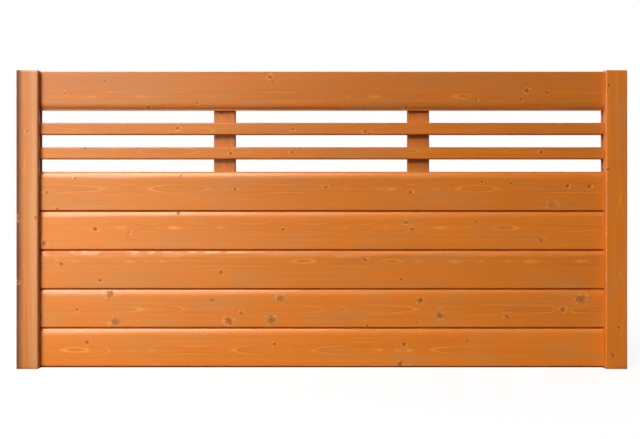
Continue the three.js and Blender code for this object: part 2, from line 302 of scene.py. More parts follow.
# Studio. Each lamp has its azimuth from the front, towards the right, and its elevation, in degrees, its
# distance, width and height in metres, the x and z it is aimed at, its spread in degrees and its power.
# The card and the strip are gilt, and are seen only in reflections. The others are white.
LAMPS = {
    "key": (-33, 28.5, 8.0, 3.8, 2.9, -0.9, -1.5, 80, 130.0),
    "sky": (-28, 56, 9.0, 4.5, 3.0, -0.5, -2.5, 80, 90.0),
    "card": (-27, 0, 4.0, 2.0, 1.3, 0.0, 0.3, 180, 38.0),
    "strip": (-26, 50, 6.0, 2.4, 1.6, 0.0, 0.3, 180, 270.0),
    "back_left": (-150, 35, 5.0, 2.5, 2.5, 0.0, 0.44, 180, 90.0),
    "back_right": (140, 40, 5.0, 2.5, 2.5, 0.0, 0.44, 180, 60.0),
}
ONLY_REFLECTED = ["card", "strip"]
GILT = (1.0, 0.90, 0.50)
AMBIENT = 0.05
BEHIND = 0.4  # how bright the side behind the panel is in a reflection
LEFT_FLOOR = 1.5  # and how bright the floor in front is on the left, where 1 is white
LEFT_WORLD = 1.0  # and the world on the left
RIGHT_SIDE = 0.1  # and both of them on the right
FLOOR_SIZE = 30.0
FLOOR_LINES = 31
FLOOR_TONE = 0.14
FLOOR_SPECKLE = 0.06
FLOOR_GLOW = 0.86  # what the camera sees of the floor besides the light on it, near the panel
GLOW_NEAR = 1.2  # from here on that grows
GLOW_FAR = 4.0  # and here it is white

BOARDS = ["board_5", "board_4", "board_3", "board_2", "board_1"]
SLATS = ["lower_slat", "upper_slat"]
STILES = ["left_stile", "right_stile"]
UPRIGHTS = ["left_upright", "right_upright"]


# ---- places in the photograph ----

def along_at(column):
    """Where a picture column lies on the boards' faces, from the panel's middle, in whole millimetres."""
    return round(CAMERA_X / MM + (column - AXIS_PX) * ALONG_MM_PER_PX)


def knots_of(name, low):
    """A timber's knots as (along, across, radius, dark). Across counts from its lower edge or left face."""
    if name in POST_KNOTS:
        return POST_KNOTS[name]
    foot = low.z / MM
    return [
        (along_at(column), round(EYE_HEIGHT + (EYE_PX - row) * UP_MM_PER_PX - foot), radius, dark)
        for column, row, radius, dark in SEEN_KNOTS[name]
    ]


def flames_of(name):
    """A timber's heart line and flames, in millimetres. A flame's point is in the middle of its column."""
    if name in PLAIN_FLAMES:
        return PLAIN_FLAMES[name]
    heart_height, flames = SEEN_FLAMES[name]
    return heart_height, [(along_at(abs(column) + 0.5), 1 if column > 0 else -1) for column in flames]


# ---- objects and meshes ----

def put(name, data):
    made = bpy.data.objects.new(name, data)
    bpy.context.scene.collection.objects.link(made)
    return made


def mesh_from(name, vertices, faces):
    mesh = bpy.data.meshes.new(name)
    mesh.from_pydata(vertices, [], faces)
    mesh.update()
    return mesh


# ---- camera ----

def make_camera():
    """The photograph's view. The frame is shifted a little, because its middle isn't the lens's axis."""
    data = bpy.data.cameras.new("view")
    data.sensor_width = SENSOR_MM
    data.lens = SENSOR_MM * CAMERA_DISTANCE / (MM_PER_PX * MM * FRAME_WIDTH_PX)
    axis_px = PANEL_MIDDLE_PX + CAMERA_X / (MM_PER_PX * MM)
    data.shift_x = 0.5 - axis_px / FRAME_WIDTH_PX
    camera = put("view", data)
    camera.location = (CAMERA_X, cad_low.y - CAMERA_DISTANCE, CAMERA_HEIGHT)
    camera.rotation_euler = (math.pi / 2, 0, 0)
    bpy.context.scene.camera = camera


# ---- shader nodes ----

class Tree:
    """Short ways to add shader nodes to one tree and join them."""

    def __init__(self, tree):
        self.nodes = tree.nodes
        self.links = tree.links

    def feed(self, socket, value):
        if isinstance(value, bpy.types.NodeSocket):
            self.links.new(value, socket)
        elif isinstance(value, tuple) and len(value) == 3 and socket.type == "RGBA":
            socket.default_value = (*value, 1.0)
        else:
            socket.default_value = value

    def node(self, kind, inputs=None, **settings):
        made = self.nodes.new(("" if kind.startswith("NodeGroup") else "ShaderNode") + kind)
        for name, value in settings.items():
            setattr(made, name, value)
        for name, value in (inputs or {}).items():
            self.feed(made.inputs[name], value)
        return made

    def math(self, operation, *values):
        made = self.node("Math", operation=operation)
        for socket, value in zip(made.inputs, values):
            self.feed(socket, value)
        return made.outputs[0]

    def plus(self, first, second):
        return self.math("ADD", first, second)

    def minus(self, first, second):
        return self.math("SUBTRACT", first, second)

    def times(self, first, second):
        return self.math("MULTIPLY", first, second)

    def over(self, first, second):
        return self.math("DIVIDE", first, second)

    def greater(self, first, second):
        return self.math("MAXIMUM", first, second)

    def scaled(self, value, factor, added):
        return self.math("MULTIPLY_ADD", value, factor, added)

    def spread(self, value, from_low, from_high, to_low=0.0, to_high=1.0):
        """The value, carried smoothly from one range to another and held at its ends."""
        made = self.node("MapRange", interpolation_type="SMOOTHSTEP")
        for index, item in enumerate((value, from_low, from_high, to_low, to_high)):
            self.feed(made.inputs[index], item)
        return made.outputs[0]

    def mix(self, factor, first, second, blend="MIX"):
        made = self.node("Mix", data_type="RGBA", blend_type=blend)
        self.feed(made.inputs[0], factor)
        self.feed(made.inputs[6], first)
        self.feed(made.inputs[7], second)
        return made.outputs[2]

    def combine(self, x, y, z):
        return self.node("CombineXYZ", {0: x, 1: y, 2: z}).outputs[0]

    def either(self, chosen, off, on):
        return self.node("Mix", {0: chosen, 2: off, 3: on}).outputs[0]

    def length(self, first, second):
        squares = self.scaled(first, first, self.times(second, second))
        return self.math("SQRT", squares)

    def split(self, vector):
        return self.node("SeparateXYZ", {0: vector}).outputs

    def noise(self, vector, seed, detail=2.0, rough=0.5, scale=1.0):
        inputs = {"Vector": vector, "W": seed, "Scale": scale, "Detail": detail, "Roughness": rough}
        return self.node("TexNoise", inputs, noise_dimensions="4D").outputs[0]

    def ramp(self, factor, stops):
        made = self.node("ValToRGB", {0: factor})
        places = made.color_ramp.elements
        while len(places) < len(stops):
            places.new(1.0)
        for place, (position, value) in zip(places, stops):
            place.position = position
            place.color = (value, value, value, 1.0)
        return made.outputs[0]


def group_sockets(group, inputs, outputs):
    for name, kind, value in inputs:
        socket = group.interface.new_socket(name=name, in_out="INPUT", socket_type=kind)
        if value is not None:
            socket.default_value = value
    for name, kind in outputs:
        group.interface.new_socket(name=name, in_out="OUTPUT", socket_type=kind)


def knot_group():
    """Adds one knot to what the knots before it have made: how far they push the rings aside, how many
    of its own radii away the nearest knot is, and that one's radius and darkness. All in millimetres."""
    group = bpy.data.node_groups.new("knot", "ShaderNodeTree")
    group_sockets(
        group,
        [
            ("Place", VECTOR, None), ("Wobble", FLOAT, 0.5), ("Along", FLOAT, 0.0), ("Across", FLOAT, 0.0),
            ("Radius", FLOAT, 5.0), ("Dark", FLOAT, 0.7),
            *[(key, FLOAT, value) for key, value in NO_KNOTS.items()],
        ],
        [(key, FLOAT) for key in NO_KNOTS],
    )
    t = Tree(group)
    given = t.node("NodeGroupInput").outputs
    x, _, z = t.split(given["Place"])
    u = t.over(t.minus(x, given["Along"]), given["Radius"])
    w = t.over(t.minus(z, given["Across"]), given["Radius"])
    around = t.length(t.times(u, 0.85), w)
    away = t.times(around, given["Wobble"])
    far = t.length(t.times(u, 0.34), t.times(w, 0.62))
    fall = t.math("EXPONENT", t.times(t.times(far, far), -1.0))
    push = t.times(fall, given["Radius"])
    nearer = t.math("LESS_THAN", away, given["Near"])
    t.node("NodeGroupOutput", {
        "Pushed": t.scaled(push, KNOT_PUSH, given["Pushed"]),
        "Near": t.math("MINIMUM", away, given["Near"]),
        "Size": t.either(nearer, given["Size"], given["Radius"]),
        "Nearest Dark": t.either(nearer, given["Nearest Dark"], given["Dark"]),
    })
    return group


def timber_group():
    """Stained softwood, with the grain along the place's x, in millimetres. The heart is a line along x,
    so many rings behind the face at a height over the edge. The rings are shells round it."""
    group = bpy.data.node_groups.new("timber", "ShaderNodeTree")
    group_sockets(
        group,
        [
            ("Place", VECTOR, None), ("Heart Ring", FLOAT, 14.0), ("Heart Height", FLOAT, 50.0),
            ("Ring Width", FLOAT, 3.3), ("Seed", FLOAT, 0.0), ("Tone", FLOAT, 1.0),
            ("Figure", FLOAT, 1.0), *[(key, FLOAT, value) for key, value in NO_KNOTS.items()],
            *[(key, FLOAT, 0.0) for key in MARKS_AND_PAINTED_LIGHT],
        ],
        [("Colour", COLOUR), ("Roughness", FLOAT), ("Height", FLOAT)],
    )
    t = Tree(group)
    given = t.node("NodeGroupInput").outputs
    seed = given["Seed"]
    x, y, z = t.split(given["Place"])

    def drawn(along, across):
        """The place, drawn out along the grain: the sizes are those of a wave, in millimetres."""
        return t.combine(
            t.over(x, along), t.over(y, across), t.over(z, across))

    def centred(value, size):
        return t.times(t.minus(value, 0.5), size)

    def other(number):
        return t.plus(seed, number)

    # Rings.
    fibre = t.noise(drawn(45.0, 1.2), seed, detail=3.0, rough=0.6)
    ripple = centred(t.noise(drawn(120.0, 70.0), seed), 7.0)
    up = t.minus(t.plus(z, ripple), given["Heart Height"])
    heart = t.times(given["Heart Ring"], given["Ring Width"])
    below = t.minus(heart, y)
    around = t.length(up, below)
    lying = t.over(below, around)  # 1 where a ring lies flat in the face
    rings = t.over(t.plus(around, given["Pushed"]), given["Ring Width"])
    rings = t.plus(rings, centred(fibre, 0.10))
    season = t.math("FRACT", rings)
    year = t.plus(t.math("FLOOR", rings), seed)
    whim = t.node("TexWhiteNoise", {"W": year}, noise_dimensions="1D").outputs["Value"]
    late = t.ramp(season, [(0.0, 0.0), (0.45, 0.08), (0.80, 0.50), (0.95, 1.0), (1.0, 0.0)])
    pale = t.ramp(season, [(0.0, 1.0), (0.05, 0.75), (0.17, 0.0)])

    # Tone along and across the board.
    streak = t.noise(drawn(520.0, 9.0), seed, detail=4.0, rough=0.55)
    patch = t.noise(drawn(210.0, 60.0), seed, detail=3.0)
    cloud = t.noise(drawn(450.0, 140.0), other(3.0), detail=2.0)
    catches = t.noise(drawn(70.0, 24.0), other(5.0))
    late = t.times(late, t.scaled(whim, 0.30, 0.20))
    late = t.times(late, t.spread(lying, 0.90, 0.99, 0.30, 1.0))
    pale = t.times(pale, t.spread(catches, 0.35, 0.60, 0.35, 1.0))
    pale = t.times(pale, t.spread(lying, 0.935, 0.995, 0.06, 1.0))
    figure = given["Figure"]
    colour = t.mix(t.times(late, figure), WOOD, LATE)
    colour = t.mix(t.times(pale, figure), colour, PALE)
    shade = t.plus(1.0, centred(streak, 0.32))
    shade = t.times(shade, t.plus(1.0, centred(fibre, 0.16)))
    shade = t.times(shade, t.plus(1.0, centred(cloud, 0.22)))
    shade = t.times(shade, given["Tone"])
    colour = t.mix(t.spread(patch, 0.46, 0.66, 0.0, 0.65), colour, FLUSHED)
    colour = t.mix(1.0, colour, t.combine(shade, shade, shade), blend="MULTIPLY")
    # Painted sheen on the left stile, standing for a reflection.
    sheened = t.times(given["Bloom"], t.spread(streak, 0.35, 0.55, 0.5, 1.0))
    colour = t.mix(sheened, colour, PAINTED_SHEEN)
    # Darker along the left stile's outer edge.
    colour = t.mix(given["Heartwood"], colour, DARK_EDGE)

    # Knots: a greyed halo drawn out along the grain, a brown disc with a painted highlight next to it, and a
    # dark core of broken patches.
    near = given["Near"]
    strength = given["Nearest Dark"]
    mottle = t.noise(drawn(3.6, 2.8), seed, detail=3.0)
    fleck = t.noise(drawn(13.0, 8.0), other(9.0))
    halo = t.spread(given["Pushed"], 1.0, 8.0, 0.0, 0.75)
    halo = t.times(halo, t.spread(fleck, 0.30, 0.60))
    # Painted highlight next to the knot, on one side.
    knot_glint = t.spread(t.math("ABSOLUTE", t.minus(near, 1.7)), 0.1, 0.7, 0.75, 0.0)
    knot_glint = t.times(knot_glint, t.spread(fleck, 0.50, 0.62))
    disc = t.spread(t.plus(centred(fleck, 1.6), near), 0.60, 1.45, 0.95, 0.0)
    disc = t.times(disc, t.spread(mottle, 0.38, 0.58, 0.45, 1.0))
    deep = t.plus(centred(mottle, 7.0), t.times(near, given["Size"]))
    core = t.spread(deep, 0.8, 2.6, 1.0, 0.0)
    rim = t.spread(t.math("ABSOLUTE", t.minus(near, 0.75)), 0.10, 0.45, 1.0, 0.0)
    rim = t.times(rim, t.spread(mottle, 0.49, 0.57))
    checks = t.spread(t.noise(given["Place"], seed, detail=2.0, scale=0.42), 0.60, 0.68)
    colour = t.mix(halo, colour, KNOT_HALO)
    colour = t.mix(t.times(knot_glint, strength), colour, KNOT_HIGHLIGHT)
    colour = t.mix(t.times(disc, strength), colour, KNOT_WOOD)
    dark = t.times(t.greater(core, rim), strength)
    colour = t.mix(dark, colour, KNOT_CORE)

    # Arrises, where the stain has been rubbed thin, and end grain, which drinks it. On slats and uprights
    # the arrises get painted shade instead, which dims their highlight.
    arris_mottle = t.noise(drawn(16.0, 6.0), seed, detail=3.0)
    worn = t.times(given["Wear"], t.spread(arris_mottle, 0.40, 0.65, 0.0, 0.35))
    colour = t.mix(worn, colour, WORN)
    arris_shade = t.times(given["Arris Shade"], t.spread(arris_mottle, 0.30, 0.55, 0.9, 0.6))
    colour = t.mix(arris_shade, colour, ARRIS_SHADE)
    # Painted shade: faces that look down are darkened and reddened.
    colour = t.mix(given["Underside Shade"], colour, UNDERSIDE_SHADE)
    colour = t.mix(t.times(given["End Grain"], 0.6), colour, LATE)

    # Gloss and relief.
    rough = t.scaled(fibre, FIBRE_ROUGHNESS, WOOD_ROUGHNESS)
    dull = t.greater(t.times(disc, strength), given["Heartwood"])
    rough = t.scaled(dull, DARK_ROUGHNESS, rough)
    rough = t.scaled(given["End Grain"], END_ROUGHNESS, rough)
    starved = t.spread(t.noise(drawn(34.0, 60.0), other(12.0)), 0.46, 0.56)
    starved = t.times(starved, given["Upward"])
    rough = t.scaled(starved, STARVED_ROUGHNESS, rough)
    height = t.scaled(fibre, FIBRE_RELIEF, t.times(late, LATE_RELIEF))
    height = t.scaled(t.noise(drawn(60.0, 14.0), seed), PLANING_RELIEF, height)
    sunk = t.times(t.times(checks, disc), strength)
    height = t.scaled(sunk, CHECK_RELIEF, height)

    t.node("NodeGroupOutput", {"Colour": colour, "Roughness": rough, "Height": height})
    return group


def plain_material(name):
    material = bpy.data.materials.new(name)
    material.use_nodes = True
    material.node_tree.nodes.clear()
    t = Tree(material.node_tree)
    return material, t


def principled(t, inputs):
    t.node("OutputMaterial", {"Surface": t.node("BsdfPrincipled", inputs).outputs[0]})


def heart_points(flames):
    """(place, ring) along a timber: which ring its face cuts over the heart. It rises and falls so that a
    ring comes to a point at each flame."""
    points = []
    ring = FIRST_RING
    for index, (place, way) in enumerate(flames):
        if index:
            before, last_way = flames[index - 1]
            if way == last_way:
                ring += way
            else:
                steep = RING_SWELL if last_way > 0 else EYE_SWELL
                swell = min(MOST_SWELL, steep * (place - before))
                points.append(((place + before) / 2, ring + last_way * swell))
        points.append((place, ring))
    first, way = flames[0]
    last, last_way = flames[-1]
    start = (first - RUN_OUT, FIRST_RING - 0.5 * way)
    end = (last + RUN_OUT, ring + 0.5 * last_way)
    return [start, *points, end]


def heart_ring(t, x, flames):
    """The ring over the heart at x, in millimetres, as a curve."""
    curve = t.node("FloatCurve", {"Value": t.scaled(x, 1 / CURVE_LENGTH, 0.5)})
    line = curve.mapping.curves[0]
    points = [(0.5 + place / CURVE_LENGTH, ring / RING_SPAN) for place, ring in heart_points(flames)]
    points = [point for point in points if 0 < point[0] < 1]
    line.points[0].location = (0.0, points[0][1])
    line.points[1].location = (1.0, points[-1][1])
    for place, ring in points:
        line.points.new(place, ring)
    curve.mapping.update()
    return t.times(curve.outputs[0], RING_SPAN)


def timber_material(name, groups, low, knots, upright, seed):
    """The stained timber of one piece. The grain runs along Z on an upright piece and else along X."""
    material, t = plain_material("stained_" + name)
    x, y, z = t.split(t.node("TexCoord").outputs["Object"])
    depth = t.minus(y, low.y)
    across = t.minus(x if upright else z, low.x if upright else low.z)
    along = z if upright else x
    along, depth, across = (t.over(value, MM) for value in (along, depth, across))
    place = t.combine(along, depth, across)
    wobble = t.noise(place, seed, scale=0.13)
    wobble = t.spread(wobble, 0.25, 0.75, 0.70, 1.35)
    chain = dict(NO_KNOTS)
    for knot_along, knot_across, radius, dark in knots:
        values = {"Along": knot_along, "Across": knot_across, "Radius": radius, "Dark": dark}
        inputs = {"Place": place, "Wobble": wobble, **values, **chain}
        knot = t.node("Group", inputs, node_tree=groups["knot"])
        chain = {key: knot.outputs[key] for key in chain}
    heart_height, flames = flames_of(name)
    ring_width, tone = SAWN[name]
    facing = t.split(t.node("NewGeometry").outputs["Normal"])
    end_grain = t.spread(t.math("ABSOLUTE", facing[2 if upright else 0]), 0.75, 0.95)
    wear = t.node("Attribute", attribute_name="wear").outputs["Fac"]
    values = {
        "Place": place, "Heart Ring": heart_ring(t, along, flames), "Heart Height": heart_height,
        "Ring Width": ring_width, "Seed": seed, "Tone": tone, "End Grain": end_grain,
        "Figure": 1.0 if name in BOARDS or name == "top_board" else 0.45,
        # Slats and uprights get painted shade on their arrises; boards and stiles get wear there.
        "Arris Shade" if name in SLATS + UPRIGHTS else "Wear":
            t.times(wear, t.spread(facing[2], -0.5, -0.1)),
        # Painted shade on faces that look down.
        "Underside Shade": t.spread(facing[2], -0.55, -0.35, 0.9, 0.0),
        "Upward": t.spread(facing[2], 0.05, 0.30) if name == STARVED_BEVEL else 0.0,
    }
    if name == "left_stile":
        stray = t.noise(t.combine(t.over(along, EDGE_WAVE), 0.0, 0.0), seed)
        edge = t.scaled(t.minus(stray, 0.5), EDGE_STRAY, across)
        # The left stile's dark outer edge.
        values["Heartwood"] = t.spread(edge, 0.0, DARK_EDGE_END, 0.97, 0.0)
        # Painted sheen, next to the dark edge.
        values["Bloom"] = t.spread(edge, SHEEN_START, SHEEN_END, 0.0, 0.65)
    timber = t.node("Group", {**values, **chain}, node_tree=groups["timber"])
    bump = t.node("Bump", {"Strength": 1.0, "Distance": MM, "Height": timber.outputs["Height"]})
    principled(t, {
        "Base Color": timber.outputs["Colour"], "Roughness": timber.outputs["Roughness"],
        "Normal": bump.outputs[0], "Specular IOR Level": WOOD_SPECULAR,
    })
    return material


def raw_wood_material():
    """The unstained wood that a countersink lays bare."""
    material, t = plain_material("raw_wood")
    place = t.node("TexCoord").outputs["Object"]
    x, y, z = t.split(place)
    fine = t.combine(t.times(x, 500.0), y, t.times(z, 500.0))
    torn = t.noise(fine, 2.0, detail=4.0)
    colour = t.mix(t.spread(torn, 0.3, 0.7), RAW_WOOD, LATE)
    bump = t.node("Bump", {"Strength": 0.5, "Distance": 0.3 * MM, "Height": torn})
    rough = t.spread(torn, 0.2, 0.8, 0.6, 0.85)
    principled(t, {"Base Color": colour, "Roughness": rough, "Normal": bump.outputs[0]})
    return material


def zinc_material():
    """Zinc plating on the screws: turned marks, and a dull bloom that comes and goes."""
    material, t = plain_material("zinc_plate")
    place = t.node("TexCoord").outputs["Object"]
    x, y, z = t.split(place)
    bloom = t.noise(place, 4.0, detail=4.0, scale=600.0)
    radius = t.math("SQRT", t.plus(t.times(x, x), t.times(z, z)))
    marks = t.combine(t.times(radius, 9000.0), t.times(y, 9000.0), 0.0)
    turned = t.noise(marks, 6.0)
    colour = t.mix(t.spread(bloom, 0.35, 0.7, 0.0, 0.7), ZINC, DULL_ZINC)
    bump = t.node("Bump", {"Strength": 0.3, "Distance": 0.03 * MM, "Height": turned})
    principled(t, {
        "Base Color": colour, "Metallic": 1.0,
        "Roughness": t.spread(bloom, 0.3, 0.7, 0.26, 0.52), "Normal": bump.outputs[0],
    })
    return material


# ---- timber meshes ----

def rounded_section(corners):
    """(outline, arris nearness) from corners (depth or across, up, radius) in millimetres, anticlockwise or
    not.
    The outline has points along its straight parts too. Arris nearness is 1 on an outer arris and fades from
    it."""
    outline = []
    arrises = []
    count = len(corners)
    area = sum(
        corners[i][0] * corners[(i + 1) % count][1] - corners[(i + 1) % count][0] * corners[i][1]
        for i in range(count))
    for index, (u, v, radius) in enumerate(corners):
        here = np.array((u, v), float)
        before = np.array(corners[index - 1][:2], float) - here
        after = np.array(corners[(index + 1) % count][:2], float) - here
        turn = before[0] * after[1] - before[1] * after[0]
        before /= np.linalg.norm(before)
        after /= np.linalg.norm(after)
        half = math.acos(np.clip(before @ after, -1, 1)) / 2
        centre = here + (before + after) / np.linalg.norm(before + after) * radius / math.sin(half)
        reach = radius / math.tan(half)
        start = here + before * reach - centre
        end = here + after * reach - centre
        sweep = math.pi - 2 * half
        steps = max(2, round(ARC_STEPS * sweep / (math.pi / 2)), round(radius * sweep / WIDE_ARC_STEP))
        if turn * area < 0 and radius < WIDE_CURVE:
            arrises.append(len(outline) + steps // 2)
        for step in range(steps + 1):
            share = step / steps
            bend = math.sin((1 - share) * sweep) * start + math.sin(share * sweep) * end
            outline.append(centre + bend / math.sin(sweep))
    marks = [outline[i] for i in arrises]
    filled = []
    for index, point in enumerate(outline):
        ahead = outline[(index + 1) % len(outline)]
        length = np.linalg.norm(ahead - point)
        pieces = max(1, math.ceil(length / SECTION_STEP))
        filled += [point + (ahead - point) * k / pieces for k in range(pieces)]
    filled = np.array(filled)
    gaps = np.linalg.norm(filled[:, None] - np.array(marks)[None], axis=2).min(axis=1)
    return filled, np.exp(-(gaps / ARRIS_REACH) ** 2)


def stations_for(low, high, knots):
    """Places along a timber, in millimetres, closer together over its knots."""
    places = list(np.arange(low + LENGTH_STEP, high - LENGTH_STEP / 2, LENGTH_STEP))
    for along, _, radius, _ in knots:
        reach = KNOT_REACH * radius
        places = [p for p in places if abs(p - along) > reach + KNOT_STEP]
        places += list(np.arange(along - reach, along + reach + 0.1, KNOT_STEP))
    inside = sorted(p for p in places if low + 2 * END_EASE < p < high - 2 * END_EASE)
    kept = [inside[0]]
    for place in inside[1:]:
        if place - kept[-1] > 0.5 * KNOT_STEP:
            kept.append(place)
    return kept


def outline_normals(outline):
    ahead = np.roll(outline, -1, axis=0) - np.roll(outline, 1, axis=0)
    normals = np.stack((ahead[:, 1], -ahead[:, 0]), axis=1)
    normals /= np.linalg.norm(normals, axis=1, keepdims=True)
    following = np.roll(outline, -1, axis=0)
    area = np.sum(outline[:, 0] * following[:, 1] - following[:, 0] * outline[:, 1])
    return normals if area > 0 else -normals


def wander(places, seed, wave):
    """A smooth line through chance heights, from -1 to 1, with its waves in millimetres."""
    total = np.zeros(len(places))
    chance = np.random.default_rng(seed)
    for octave in range(OCTAVES):
        length = wave / 2**octave
        heights = chance.uniform(-1, 1, CHANCES)
        at = np.asarray(places) / length + 1000
        cell = np.floor(at).astype(int)
        share = at - cell
        share = share * share * (3 - 2 * share)
        line = heights[cell % CHANCES] * (1 - share) + heights[(cell + 1) % CHANCES] * share
        total += line / 2**octave
    return total / sum(1 / 2**octave for octave in range(OCTAVES))


def swept_timber(name, section, low, high, knots, shape, upright, seed):
    """A piece of timber: its section carried from low to high along the grain, in millimetres, with
    eased ends, knots that stand a little proud, and a surface that strays a little from true."""
    outline, wear = section
    normals = outline_normals(outline)
    inner = stations_for(low, high, knots)
    ease = [(0.0, END_EASE), (0.3 * END_EASE, 0.3 * END_EASE), (END_EASE, 0.0)]
    stations = [(low + step, inset) for step, inset in ease]
    stations += [(place, 0.0) for place in inner]
    stations += [(high - step, inset) for step, inset in reversed(ease)]
    alongs = np.array([place for place, _ in stations])
    insets = np.array([inset for _, inset in stations])
    points = np.repeat(outline[None], len(stations), axis=0)
    points = shape(points, alongs)
    stray = np.stack([wander(alongs, seed + side, FACE_WAVE) for side in range(2)])
    facing = normals[:, 0][None, :]
    lift = FACE_WANDER * np.where(facing > 0, stray[1][:, None], stray[0][:, None]) * np.abs(facing)
    across = points[:, :, 0 if upright else 1]
    flatness = np.abs(normals[:, 1] if upright else normals[:, 0])[None, :]
    for along, up, radius, dark in knots:
        away = ((alongs[:, None] - along) / (1.25 * radius)) ** 2 + ((across - up) / radius) ** 2
        lift = lift + KNOT_RELIEF * dark * np.exp(-away) * flatness
    points = points + normals[None] * (lift - insets[:, None])[:, :, None]
    return mesh_of_sweep(name, points, alongs, wear, insets, upright)


def mesh_of_sweep(name, points, alongs, wear, insets, upright):
    rows, sides = points.shape[:2]
    along = np.repeat(alongs[:, None], sides, axis=1)
    if upright:  # the section's first number is across (x), its second is depth (y)
        places = np.stack((points[:, :, 0], points[:, :, 1], along), axis=2)
    else:  # the section's first number is depth (y), its second is height (z)
        places = np.stack((along, points[:, :, 0], points[:, :, 1]), axis=2)
    faces = []
    for row in range(rows - 1):
        for side in range(sides):
            after = (side + 1) % sides
            faces.append((row * sides + side, row * sides + after,
                          (row + 1) * sides + after, (row + 1) * sides + side))
    faces.append(tuple(range(sides)))
    faces.append(tuple(range((rows - 1) * sides, rows * sides)))
    mesh = mesh_from(name, (places.reshape(-1, 3) * MM).tolist(), faces)
    attribute = mesh.attributes.new("wear", "FLOAT", "POINT")
    ends = (insets > 0).astype(float)[:, None]
    attribute.data.foreach_set("value", np.maximum(wear[None, :], ends).ravel())
    outward(mesh)
    mesh.shade_smooth()
    mesh.set_sharp_from_angle(angle=math.radians(TIMBER_CREASE))
    return mesh


def outward(mesh):
    """Turns every face outwards."""
    solid = bmesh.new()
    solid.from_mesh(mesh)
    bmesh.ops.recalc_face_normals(solid, faces=solid.faces)
    solid.to_mesh(mesh)
    solid.free()


def tongue_corners(height, rear_shoulder):
    """The bevelled and tongued upper edge, from the face to the back. Height is the bevel's top."""
    back = TONGUE_SETBACK + TONGUE_THICKNESS
    return [
        (0, height - BEVEL_HEIGHT, BEVEL_EASE),
        (BEVEL_DEPTH, height, EDGE_EASE),
        (TONGUE_SETBACK, height, EDGE_EASE),
        (TONGUE_SETBACK, height + TONGUE_LENGTH, 1.0),
        (back, height + TONGUE_LENGTH, 1.0),
        (back, rear_shoulder, 0.2),
        (BOARD_THICKNESS, rear_shoulder, ARRIS),
    ]


def board_section(height):
    """Corners of a whole board of this overall height, tongue and all."""
    face = height - TONGUE_LENGTH
    groove_front = TONGUE_SETBACK - FIT
    groove_back = TONGUE_SETBACK + TONGUE_THICKNESS + FIT
    lower = [
        (BOARD_THICKNESS, 0, ARRIS),
        (groove_back, 0, 0.4),
        (groove_back, BOARD_GROOVE_DEPTH, EDGE_EASE),
        (groove_front, BOARD_GROOVE_DEPTH, EDGE_EASE),
        (groove_front, 0, EDGE_EASE),
        (LIP_DEPTH, 0, 0.25),
        (0, LIP_HEIGHT, LIP_ROUNDING),
    ]
    return tongue_corners(face, face + SHADOW_GAP - FIT) + lower


def top_board_section(height):
    """The same section turned over, with its groove ripped off."""
    face = height - TONGUE_LENGTH
    upper = tongue_corners(face, face + SHADOW_GAP - FIT)
    plain = [(BOARD_THICKNESS, 0, 1.0), (0, 0, 1.0)]
    return [(depth, height - up, radius) for depth, up, radius in upper + plain]


def rectangle(width, height, radius):
    return [(0, 0, radius), (width, 0, radius), (width, height, radius), (0, height, radius)]


def stile_section(width, depth, mirrored):
    """Corners of a stile, across and deep, with its groove open to the panel's middle."""
    back = depth - REAR_CHEEK
    front = back - BOARD_THICKNESS - 2 * FIT
    floor = width - STILE_GROOVE_DEPTH
    corners = [
        (0, 0, STILE_EDGE_RADIUS), (width, 0, STILE_EDGE_RADIUS),
        (width, front, 0.5), (floor, front, 0.4), (floor, back, 0.4), (width, back, 0.5),
        (width, depth, STILE_EDGE_RADIUS), (0, depth, STILE_EDGE_RADIUS),
    ]
    return [(width - u, v, radius) for u, v, radius in corners] if mirrored else corners


def shifted(section, first, second):
    outline, wear = section
    return outline + np.array((first, second)), wear


def bevel_shaper(name, foot, turned, seed):
    """Lets the bevel's foot wander up and down a board's face, as the cutter and the board's own bow make
    it do. The bevel's upper end stays where it is."""
    low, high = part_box(name)
    face = low.y / MM
    size, wave = BEVEL_WANDER.get(name, BEVEL_WANDER_ELSEWHERE)

    def shape(points, alongs):
        depth = points[:, :, 0] - face
        up = (high.z / MM - points[:, :, 1]) if turned else (points[:, :, 1] - low.z / MM)
        over = np.clip(1 - (up - foot) / BEVEL_HEIGHT, 0, 1)
        under = np.clip(1 - (foot - up) / BEVEL_SETTLE, 0, 1)
        weight = np.where(up > foot, over, under) * (depth < BEVEL_DEPTH + 0.01)
        stray = size * wander(alongs, seed, wave)[:, None]
        moved = points.copy()
        moved[:, :, 1] += (-1 if turned else 1) * stray * weight
        return moved

    return shape


def unshaped(points, alongs):
    return points


def add_piece(name, mesh, material):
    """Puts a mesh in place of the CAD node of the same name."""
    piece = put(name + "_fine", mesh)
    mesh.materials.append(material)
    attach(piece, BODY)
    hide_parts(name)
    return piece


def make_timber(name, groups, seed, corners, upright, shape=unshaped):
    """Sweeps a section along one timber. The corners count from its lower edge or left face."""
    low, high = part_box(name)
    start, end = (low.z, high.z) if upright else (low.x, high.x)
    first, second = (low.x, low.y) if upright else (low.y, low.z)
    section = shifted(rounded_section(corners), first / MM, second / MM)
    knots = knots_of(name, low)
    edge = (first if upright else second) / MM
    placed = [(along, across + edge, radius, dark) for along, across, radius, dark in knots]
    mesh = swept_timber(name, section, start / MM, end / MM, placed, shape, upright, seed)
    return add_piece(name, mesh, timber_material(name, groups, low, knots, upright, seed))


def make_row(name, groups, seed):
    """A board or a slat."""
    low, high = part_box(name)
    height = (high.z - low.z) / MM
    if name in SLATS:
        corners = rectangle(BOARD_THICKNESS, height, SLAT_EDGE_RADIUS)
        make_timber(name, groups, seed, corners, False)
        return
    turned = name == "top_board"
    corners = top_board_section(height) if turned else board_section(height)
    shape = bevel_shaper(name, height - TONGUE_LENGTH - BEVEL_HEIGHT, turned, seed)
    make_timber(name, groups, seed, corners, False, shape)


